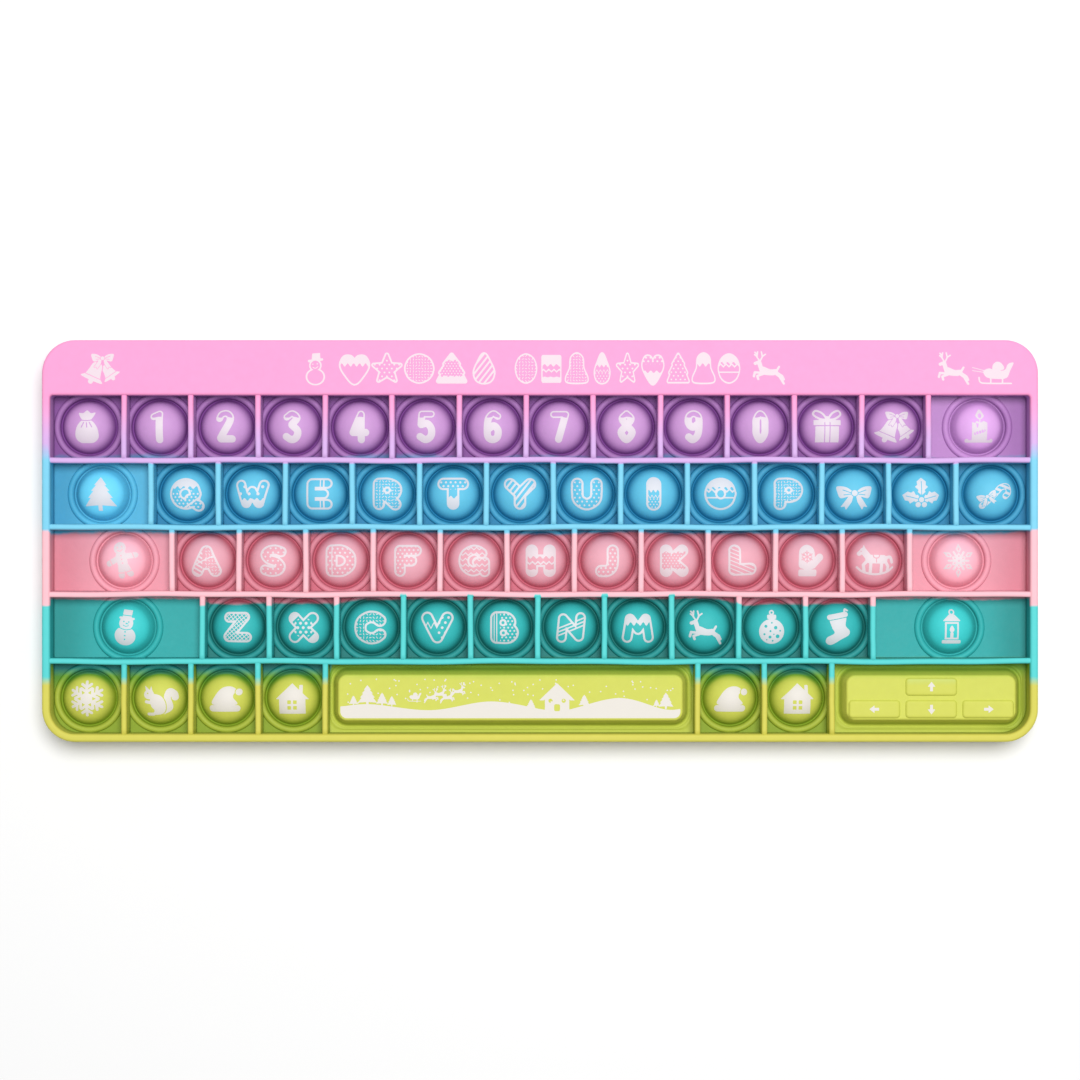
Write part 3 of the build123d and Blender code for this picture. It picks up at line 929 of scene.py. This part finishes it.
def candle(k):
    body = k.poly("-2.1,-3.7 -2.1,1.2 -1.3,.9 -.9,1.5 .2,1 1.1,1.5 2.1,1.1 2.1,-3.7", 0.1)
    band = cut(k.line("-1.2,-2 1.3,-1.2", 0.4), k.stripes(17, 0.8, 0.3))
    body = cut(body, k.line("~-.9,.9 -.7,-.2 -.5,.8", 0.14), band)
    flame = k.poly("~0,5 1,3.7 1.2,2.9 0,2 -1.2,2.9 -1,3.7")
    dish = join(k.line("-3.2,-4.2 3.2,-4.2", 0.36), k.disc(-3.5, -4.0, 0.55), k.disc(3.5, -4.0, 0.55))
    return join(body, cut(flame, k.disc(0, 3.1, 0.45, 0.7)), k.line("0,1.2 0,2.2", 0.16), dish)


def fir_tree(k):
    return k.both().poly("-1,4.6 0,4.7 1.6,2.6 1,2.6 2.5,.9 1.8,.9 3.4,-1.1 2.6,-1.1 4.4,-3.5 "
                         ".5,-3.2 .5,-4.8 -1,-4.8", 0.08)


def holly(k):
    leaf = "0,0 .9,1 1.4,.7 2.3,1.7 2.8,1.1 3.8,1.2 4.8,0 3.8,-1.2 2.8,-1.1 2.3,-1.7 1.4,-.7 .9,-1"
    fields = []
    for x, y, turn in ((0, -0.3, 90), (-0.5, -1.6, 165), (0.5, -1.6, 15)):
        part = k.at(x, y, turn)
        fields.append(cut(part.poly(leaf, 0.12), part.line("0,0 3.9,0", 0.11)))
    berries = join(k.disc(0, -1.7, 0.75), k.disc(-0.9, -3.1, 0.75), k.disc(0.9, -3.1, 0.75))
    return join(cut(join(*fields), berries - 0.25), berries)


def candy_cane(k):
    p = k.at(0.4, 0, -45)
    cane = p.line("~0,-4.8 0,0 0,2.6 1.2,4.1 2.6,3.2 2.7,1.8", 0.9)
    cane = np.maximum(cane, join(-cane - 0.28, p.at(turn=25).stripes(90, 1.5, 0.5)))
    knot = bow(k.at(-1.7, -0.9, 20, 0.55))
    return join(cut(cane, knot - 0.25), knot)


def gingerbread(k):
    k = k.at(0, 0.2, 13)
    figure = join(k.disc(0, 3.5, 1.75), k.line("0,1.4 0,-.8", 1.5), k.line("-3.9,-.2 0,1 3.9,.6", 0.85),
                  k.line("-.5,-1.4 -1.2,-4.3|.5,-1.4 1.4,-4.3", 0.9))
    marks = join(*(k.disc(x, y, r) for x, y, r in
                   ((-0.6, 3.8, 0.2), (0.6, 3.8, 0.2), (0, 1.3, 0.24), (0, 0.2, 0.24), (0, -0.9, 0.24))))
    cuffs = k.line("-3.4,.6 -3.1,-.7|3.2,1.4 3.5,-.2|-2,-3.4 -.4,-3.7|2,-3.4 .4,-3.7", 0.12)
    return cut(figure, marks, cuffs, k.line("~-.7,3 0,2.6 .7,3", 0.14))


def mitten(k):
    hand = k.poly("~-2.3,-2.1 -2.7,.8 -2.3,3.4 -.4,4.6 1.5,3.5 1.9,1 1.9,-2.1")
    hand = join(hand, k.line("1.4,-1 3.3,1", 1.05))
    flake = k.at(-0.4, 1.1).fold().line("0,0 1.7,0|.9,0 1.3,.5", 0.14)
    return join(cut(hand, flake), k.rect(-2.8, 2.4, -4.5, -2.5, 0.5))


def rocking_horse(k):
    body = join(k.line("-1.6,.5 2.3,.4", 1.25), k.line("-1.9,.9 -3.3,2.8", 0.95),
                k.line("-3.3,3.1 -4.5,2", 0.62), k.poly("-3.6,3.4 -3.1,4.6 -2.6,3.4"),
                k.line("~3.2,.9 4.4,1 4.9,-.4", 0.45))
    legs = k.line("-2.3,0 -3.4,-1.2 -3.1,-3.2|-1.3,-.4 -1.4,-3.4|"
                  "1.8,-.4 1.7,-3.4|2.9,-.1 3.7,-1.6 3.5,-3", 0.45)
    saddle = k.line("~-.7,1.9 -.3,.9 .9,.9 1.3,1.8|.3,.7 .3,-.4", 0.13)
    runner = k.line("~-5.1,-1.9 -3.4,-3.2 0,-3.9 3.4,-3.2 5.1,-1.9", 0.32)
    return join(cut(join(body, legs), saddle, k.disc(-3.9, 2.7, 0.16)), runner)


def snowflake(k):
    arm = k.fold()
    diamonds = join(arm.poly("0,0 1.3,.75 2.4,0"), arm.poly("1.9,0 3.4,.8 5,0"),
                    arm.line("1.6,.9 2.5,1.4", 0.28))
    gaps = join(arm.disc(1.35, 0, 0.28, 0.22), arm.disc(3.3, 0, 0.42, 0.24),
                arm.line("2.3,.1 2.3,.7", 0.1))
    return cut(diamonds, gaps, k.disc(0, 0, 0.3))


def flake(k):
    arm = k.fold()
    branches = arm.line("0,0 4.8,0|1.9,0 2.9,1.5|3.2,0 4.1,1.3", 0.4)
    return join(branches, cut(arm.line("1.5,0 .75,1.3", 0.38), k.disc(0, 0, 0.9)))


def snowman(k):
    k = k.at(0, 0, -7)
    figure = join(k.disc(0, -2.4, 3.0, 2.75), k.disc(0, 1.3, 2.0), k.line("-1.9,2.7 1.9,2.7", 0.32),
                  k.rect(-1.3, 1.3, 2.7, 5.1))
    eyes = join(k.disc(-0.7, 1.7, 0.22), k.disc(0.7, 1.7, 0.22))
    buttons = join(*(k.disc(0, y, 0.24) for y in (-1.2, -2.3, -3.4)))
    marks = join(eyes, buttons, k.poly("-.1,1.5 1,1.1 -.1,1"), k.line("~-.8,.7 0,.4 .8,.7", 0.1))
    scarf = k.line("~-2,-.1 0,-.6 2,-.1", 0.12)
    return cut(figure, marks, scarf, k.line("-1.3,3.5 1.3,3.5", 0.12))


def deer(k):
    body = join(k.poly("~-2.4,-.3 -1.5,.4 .6,-.4 2.4,-.4 2.9,-1.4 1.6,-2.2 -.8,-2.1 -2.3,-1.7"),
                k.line("-2,-.5 -2.6,1.5", 0.65), k.line("-2.6,1.8 -3.8,1.3", 0.5),
                k.line("2.6,-.7 3.2,.3", 0.33))
    antlers = k.line("-2.5,2 -3.3,3.2 -3.1,4.7|-3.2,3.2 -4,3.9|-2.3,2.1 -1.7,3.3 -2,4.7|"
                     "-1.8,3.3 -.8,4|-3.2,3.9 -3.9,4.6", 0.23)
    legs = k.line("-1.9,-1.5 -3.9,-1.3 -4.2,-2.5|-1.5,-1.8 -3.2,-2.4 -2.9,-3.3|"
                  "2,-1.6 3.4,-2.6 4.6,-4.6|2.3,-1.2 4.1,-2.4 4.6,-3.4", 0.36)
    return join(body, antlers, legs)


def bauble(k):
    ball = k.disc(0, -1.1, 3.6)
    holes = join(*(k.disc(x, y, r) for x, y, r in
                   ((-1.7, 0.4, 0.42), (1.1, 0, 0.5), (-0.4, -1.0, 0.3), (-2.1, -1.9, 0.3),
                    (1.7, -2.5, 0.55), (0, 1.4, 0.25), (-0.5, -2.7, 0.42), (2.4, -0.9, 0.25),
                    (0.3, -3.8, 0.25), (-1.4, -3.5, 0.2), (0.6, -1.9, 0.2))))
    cap = join(k.rect(-1.3, 1.3, 2.5, 3.7, 0.3), cut(k.disc(0, 4.3, 0.75), k.disc(0, 4.3, 0.3)))
    return join(cut(ball, holes), cap)


def stocking(k):
    foot = k.poly("~-2.3,2.6 -1.9,0 -1.2,-1.6 -3.2,-2.9 -3.4,-4.4 -1.9,-5 .8,-3.4 2.9,-2.2 "
                  "3.2,-.9 2,.6 2,3.4")
    cuff = k.line("-2.5,2.9 2,3.8", 0.75)
    return join(cut(foot, cuff - 0.2), cuff, k.line("~1.7,4.2 1.9,5.2 2.6,4.9", 0.28))


def lantern(k):
    cap = join(k.poly("-2.3,2 -.7,3.6 .7,3.6 2.3,2", 0.15), cut(k.disc(0, 4.4, 0.85), k.disc(0, 4.4, 0.45)))
    body = cut(k.rect(-2.0, 2.0, -3.4, 1.6), k.both().rect(0.25, 1.5, -2.9, 1.1),
               k.rect(-0.3, 0.3, -2.9, 1.1))
    flame = join(k.poly("~0,.6 .7,-.6 0,-1.4 -.7,-.6"), k.rect(-0.45, 0.45, -2.9, -1.4, 0.05))
    return join(cap, body, flame, k.rect(-2.7, 2.7, -4.6, -3.6, 0.3))


def squirrel(k):
    tail = k.line("~1.4,-3.6 3.2,-2.4 2.6,.2 3.2,2 4.4,1.4 4.7,.4", 0.95)
    body = k.poly("~-1.9,1.3 .6,.9 2,-1 2,-3.4 .8,-4.5 -1.6,-4.6 -1.1,-3.4 -2,-2.2 -2.4,-.4")
    head = join(k.disc(-2.7, 1.2, 1.5, 1.35), k.poly("-3.6,2 -4,3.7 -2.5,2.5"),
                k.poly("-2.6,2.2 -2.1,3.6 -1.5,1.8"))
    paws = k.line("-1.8,-1.2 -3.5,-.9|-1.4,-4.5 -2.9,-4.5", 0.45)
    return cut(join(cut(tail, body - 0.25), body, head, paws), k.disc(-3.1, 1.5, 0.22))


def hat(k):
    top = k.poly("~-3.6,-1.7 -2.8,1 -.8,3.1 1.6,3.5 3.4,2.5 4,1.7 2.6,1.5 2.3,.3 3.2,-1.7")
    return join(cut(top, k.disc(3.9, 1.9, 1.2)), k.disc(3.9, 1.9, 0.95), k.line("-3.7,-2.8 3.3,-2.8", 0.95))


def house(k):
    walls = join(k.poly("-4.6,-.1 0,4.3 4.6,-.1 3.7,-.1 3.7,-4.3 -3.7,-4.3 -3.7,-.1", 0.08),
                 k.rect(2.0, 3.0, 1.5, 3.9))
    panes = Ink(np.abs(k.x), np.abs(k.y + 1.8)).rect(0.3, 1.35, 0.3, 1.35, 0.1)
    return cut(walls, panes)


def sleigh(k):
    tub = k.poly("~-3.4,.4 -2.6,-1.2 0,-1.7 2.9,-1.4 3.9,.6 4.8,2.7 3.3,2.4 2.4,.8 0,.5 -1.8,1.2")
    sack = k.poly("~-.6,.4 -.9,2 .2,3 1.5,2.6 2.2,1")
    runner = k.line("~-4.6,-1.3 -4.2,-2.6 -2,-2.9 4.2,-2.9|-1.4,-1.5 -1.4,-2.8|1.8,-1.5 1.8,-2.8", 0.22)
    return join(tub, sack, runner)


PICTURES = {shape.__name__: shape for shape in (
    gift_bag, gift_box, bells, candle, fir_tree, bow, holly, candy_cane, gingerbread, mitten, rocking_horse,
    snowflake, snowman, deer, bauble, stocking, lantern, flake, squirrel, hat, house)}
PICTURES |= {"hat_right": hat, "house_right": house}


def ink_grid(half_x, half_y, step=INK_STEP):
    """A grid that reaches from the middle to half_x and half_y, in steps of that size."""
    x = np.arange(-half_x, half_x + step, step)
    y = np.arange(-half_y, half_y + step, step)
    return Ink(*np.meshgrid(x, y))


def traced(ink, field):
    """Flat polygons where the field is below zero, by marching squares: each grid square keeps
    its inside corners and the points where the field crosses zero on its sides."""
    rows, columns = field.shape
    count = rows * columns
    index = np.arange(count).reshape(rows, columns)
    with np.errstate(divide="ignore", invalid="ignore"):
        t = field[:, :-1] / (field[:, :-1] - field[:, 1:])
        along = ink.x[:, :-1] + t * (ink.x[:, 1:] - ink.x[:, :-1]), ink.y[:, :-1]
        s = field[:-1] / (field[:-1] - field[1:])
        up = ink.x[:-1], ink.y[:-1] + s * (ink.y[1:] - ink.y[:-1])
    points = np.zeros((3, rows, columns, 2))
    points[0] = np.stack([ink.x, ink.y], 2)
    points[1, :, :-1] = np.stack(along, 2)
    points[2, :-1] = np.stack(up, 2)
    inside = field < 0
    corners = np.stack([inside[:-1, :-1], inside[:-1, 1:], inside[1:, 1:], inside[1:, :-1]])
    stops = np.stack([index[:-1, :-1], index[:-1, :-1] + count,
                      index[:-1, 1:], index[:-1, 1:] + 2 * count,
                      index[1:, 1:], index[1:, :-1] + count,
                      index[1:, :-1], index[:-1, :-1] + 2 * count])
    code = (corners * np.array([1, 2, 4, 8])[:, None, None]).sum(0)
    faces = []
    for case in range(1, 16):
        held = [bool(case >> k & 1) for k in range(4)]
        ring = [2 * k + side for k in range(4) for side in (0, 1)
                if (held[k] if side == 0 else held[k] != held[(k + 1) % 4])]
        block = stops[ring][:, code == case].T
        if len(block):
            faces.append(block)
    used = np.unique(np.concatenate([block.ravel() for block in faces]))
    return points.reshape(-1, 2)[used], [np.searchsorted(used, block) for block in faces]


# the silicone under the thin ink tints it a little; the tint also carries the silicone's painted shade
# lower on the domes
print_ink = new_material("print_ink")
under, place, _ = band_colour()
finish(mix((0.74, 0.69, 0.72), under, 0.16), 0.6, 0.1, place)


def level_drawing(ink, field, x, y, z):
    """A traced drawing moved to its place on a flat surface at height z."""
    flat_points, faces = traced(ink, field)
    return np.column_stack([flat_points + [x, y], np.full(len(flat_points), z)]), faces


def ink_piece(name, drawings, body=None):
    """One object from (points, faces) drawings, already lifted on to their surfaces."""
    start, points, faces = 0, [], []
    for p, blocks in drawings:
        points.append(p)
        faces += [block + start for block in blocks]
        start += len(p)
    piece = new_piece(name, np.concatenate(points), faces, shell=False, weld=0)
    piece.data.materials.append(print_ink)
    if body:
        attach(piece, body)
    return piece


KEY_GRID = ink_grid(6.4, 6.2)


def key_print(name):
    """A bubble's motif laid over its dome."""
    motif = character(KEY_GRID, name) if len(name) == 1 else PICTURES[name](KEY_GRID)
    flat_points, faces = traced(KEY_GRID, motif)
    z = WEB_TOP + dome_height(np.hypot(*flat_points.T)) + INK_LIFT
    return np.column_stack([flat_points + [cells[name]["x"], cells[name]["y"]], z]), faces


for group in BUBBLE_GROUPS:
    label = group[0] if len(group) == 1 else "bottom_row"
    piece = ink_piece(f"print_{label}", [key_print(n) for n in group])
    flip_with(piece, cells[group[0]], WEB_TOP + INK_LIFT)

# Winter scene along the space bar: snow hills, firs, a house, a sleigh with deer, snowflakes
bar = ink_grid(49.0, 6.2, 0.12)
hill_line = smooth([(-60, -3), (-49.5, -2.6), (-40, -1.9), (-22.8, -3.6), (-5.5, -1.1), (10, -3.5),
                    (16, -3.6), (31.2, -0.1), (44, -3.3), (50, -3.2), (60, -3)], steps=12)
FIRS = [(-45, -0.8, 0.29), (-41, 0.7, 0.6), (-36.8, -0.4, 0.38), (-34, -1.0, 0.3),
        (21.2, -0.9, 0.36), (41.9, -1.6, 0.22), (44.6, -0.9, 0.48), (5.9, -2.1, 0.34)]
DEER = [(-22.6, 0.6), (-20.2, 1.5), (-18.0, 0.5), (-14.9, 2.3)]
SNOWFLAKES = 90


def cottage(k):
    walls = join(k.rect(-3.5, 3.5, -4.6, 1.2),
                 k.poly("-4.9,-.4 0,4.3 4.9,-.4 3.9,-.4 0,3.1 -3.9,-.4", 0.1),
                 k.poly("-3.6,-.1 0,3 3.6,-.1"))
    return cut(walls, k.rect(-0.85, 0.85, -3.6, -1.6, 0.5), k.both().disc(1.9, -0.6, 0.6))


def drawn(picture, ink, x, y, size, flip=1):
    """A picture at another place and size; its distances grow and shrink with it."""
    return picture(ink.at(x, y, size=size, flip=flip)) * size


scene_parts = [bar.y - np.interp(bar.x, *hill_line.T), drawn(cottage, bar, 13.4, -0.3, 1.0)]
scene_parts += [drawn(fir_tree, bar, x, y, size) for x, y, size in FIRS]
scene_parts.append(drawn(sleigh, bar, -27.5, 0.2, 0.42))
scene_parts += [drawn(deer, bar, x, y, 0.44, flip=-1) for x, y in DEER]
random = np.random.default_rng(7)
for x, y in zip(random.uniform(-47, 47, SNOWFLAKES), random.uniform(-1.5, 5.4, SNOWFLAKES)):
    scene_parts.append(bar.disc(x, y, 0.22))
half_x, half_y = (size / 2 for size in BAR_SIZE["space_bar"])
clear = outline(half_x, -half_y, half_y, BAR_CORNER, BAR_CORNER, inset=CREST, side=2, turn=8)
edge_text = " ".join(f"{x:.3f},{y:.3f}" for x, y in clear)
winter = np.maximum(join(*scene_parts), bar.poly(edge_text))
place = cells["space_bar"]
ink_piece("print_space_bar", [level_drawing(bar, winter, place["x"], place["y"], BAR_TOP + INK_LIFT)],
          "space_bar")

# Arrows on the raised keys of the arrow pad
small = ink_grid(2.2, 2.2, 0.08)
arrows = []
for dx, dy, turn in ARROW_PLACES:
    arrow = small.at(turn=turn).poly("-1.2,-.35 .1,-.35 .1,-1 1.4,0 .1,1 .1,.35 -1.2,.35", 0.06)
    arrows.append(level_drawing(small, arrow, pad["x"] + dx, pad["y"] + dy,
                                BAR_TOP + ARROW_KEY_RISE + INK_LIFT))
ink_piece("print_arrows", arrows, "arrow_pad")

# Along the header: bells, a snowman, fourteen plump ornaments, a deer, and a deer with a sleigh
big = ink_grid(6.6, 5.4)
HEADER_Y = (OPEN_BACK + high[1]) / 2 - 0.3
FORMS = {
    "heart": "~0,-4.2 2.6,-1.6 3.8,.9 2.9,3.1 1.1,3.2 0,1.9 -1.1,3.2 -2.9,3.1 -3.8,.9 -2.6,-1.6",
    "star": "0,3.9 1.1,1.2 3.8,1 1.7,-.8 2.4,-3.4 0,-2 -2.4,-3.4 -1.7,-.8 -3.8,1 -1.1,1.2",
    "fir": "0,3.9 2,1.3 1.6,1.2 3.2,-1.2 2.6,-1.3 3.8,-3.6 -3.8,-3.6 -2.6,-1.3 -3.2,-1.2 -1.6,1.2 -2,1.3",
    "bell": "~0,4 2,2.9 2.4,0 3.9,-2.7 3,-3.7 -3,-3.7 -3.9,-2.7 -2.4,0 -2,2.9",
    "box": "-3.2,-3.4 -3.2,3.2 3.2,3.2 3.2,-3.4",
    "ball": "~3.7,0 2.6,2.6 0,3.7 -2.6,2.6 -3.7,0 -2.6,-2.6 0,-3.7 2.6,-2.6",
    "drop": "~0,4 1.6,1.6 2.6,-1 1.9,-3.2 0,-3.9 -1.9,-3.2 -2.6,-1 -1.6,1.6",
}
# two groups of ornaments, each form with the icing of a letter: first place, pitch and width
ORNAMENTS = [
    (-53.0, 9.25, 1.0, ("heart m", "star s", "ball r", "fir k", "drop y")),
    (-4.0, 7.25, 0.74, ("ball c", "box h", "bell r", "drop i", "star s", "heart t", "fir u",
                        "bell m", "ball o")),
]
OUTLINE_BAND = 0.5


def header_snowman(k):
    shape = join(k.disc(0, -2.4, 3.1, 2.75), k.disc(0, 1.2, 2.0), k.line("-2,2.6 2.1,3.1", 0.4),
                 k.poly("-1.2,2.9 -1,5 1.5,5.2 1.6,3.2"))
    marks = join(k.disc(-0.8, 1.6, 0.22), k.disc(0.6, 1.7, 0.22),
                 k.line("~-.8,.6 0,.3 .8,.8", 0.14), 2.9 - k.y)
    return plump(shape, marks, OUTLINE_BAND)


header_fields = []
for first, pitch, width, ornaments in ORNAMENTS:
    slim = Ink(big.x / width, big.y)
    for number, ornament in enumerate(ornaments):
        form, letter = ornament.split()
        shape = slim.poly(FORMS[form], 0.7)
        header_fields.append((first + pitch * number, plump(shape, ICING[letter](big), OUTLINE_BAND)))
reins = big.line("-6.4,.3 -3,-.6|-6.4,-.6 -3,-1.1", 0.1)
header_fields += [(-125.9, drawn(bells, big, 0.0, 0.0, 0.97)),
                  (-64.6, header_snowman(big.at(0.4, -0.2, size=0.9))),
                  (64.9, drawn(deer, big, 0.3, 0.2, 0.97)),
                  (118.0, drawn(deer, big, 0.0, 0.0, 0.95)),
                  (130.0, join(drawn(sleigh, big, 0.3, -1.2, 1.05), reins))]
ink_piece("print_header", [level_drawing(big, field, x, HEADER_Y, high[2] + INK_LIFT)
                           for x, field in header_fields], "tray")

# ---- table, light and camera -------------------------------------------------------------
# A plain pale table top, broad soft light from above, and a camera that looks straight down.
mesh = bpy.data.meshes.new("table")
mesh.from_pydata([(-3, -3, 0), (3, -3, 0), (3, 3, 0), (-3, 3, 0)], [], [(0, 1, 2, 3)])
table = bpy.data.objects.new("table", mesh)
bpy.context.scene.collection.objects.link(table)
table.data.materials.append(new_material("table_top"))
finish((0.86, 0.86, 0.86, 1.0), 0.7, 0.05, Wire.node("TexCoord", out=3))


def area_light(name, place, size, power):
    """A round soft light that shines at the origin."""
    data = bpy.data.lights.new(name, "AREA")
    data.shape = "DISK"
    data.size = size
    data.energy = power
    lamp = bpy.data.objects.new(name, data)
    lamp.location = place
    direction = bpy.context.scene.cursor.location.copy()
    direction.xyz = [-along for along in place]
    lamp.rotation_euler = direction.to_track_quat("-Z", "Y").to_euler()
    bpy.context.scene.collection.objects.link(lamp)


area_light("key_light", (0.15, 0.32, 1.63), 0.95, 31.5)
world = bpy.data.worlds.new("studio")
world.use_nodes = True
world.node_tree.nodes["Background"].inputs["Color"].default_value = (1, 1, 1, 1)
world.node_tree.nodes["Background"].inputs["Strength"].default_value = 0.18
bpy.context.scene.world = world
bpy.context.scene.view_settings.view_transform = "Standard"

DISTANCE = 0.68
FRAME_WIDTH = 0.3087
CAMERA_Y = 0.0003
SENSOR = 36
camera_data = bpy.data.cameras.new("camera")
camera_data.sensor_width = SENSOR
camera_data.lens = SENSOR * DISTANCE / FRAME_WIDTH
camera_data.clip_start = 0.01
camera = bpy.data.objects.new("camera", camera_data)
camera.location = (0, CAMERA_Y, DISTANCE + high[2] * MM)
bpy.context.scene.collection.objects.link(camera)
bpy.context.scene.camera = camera
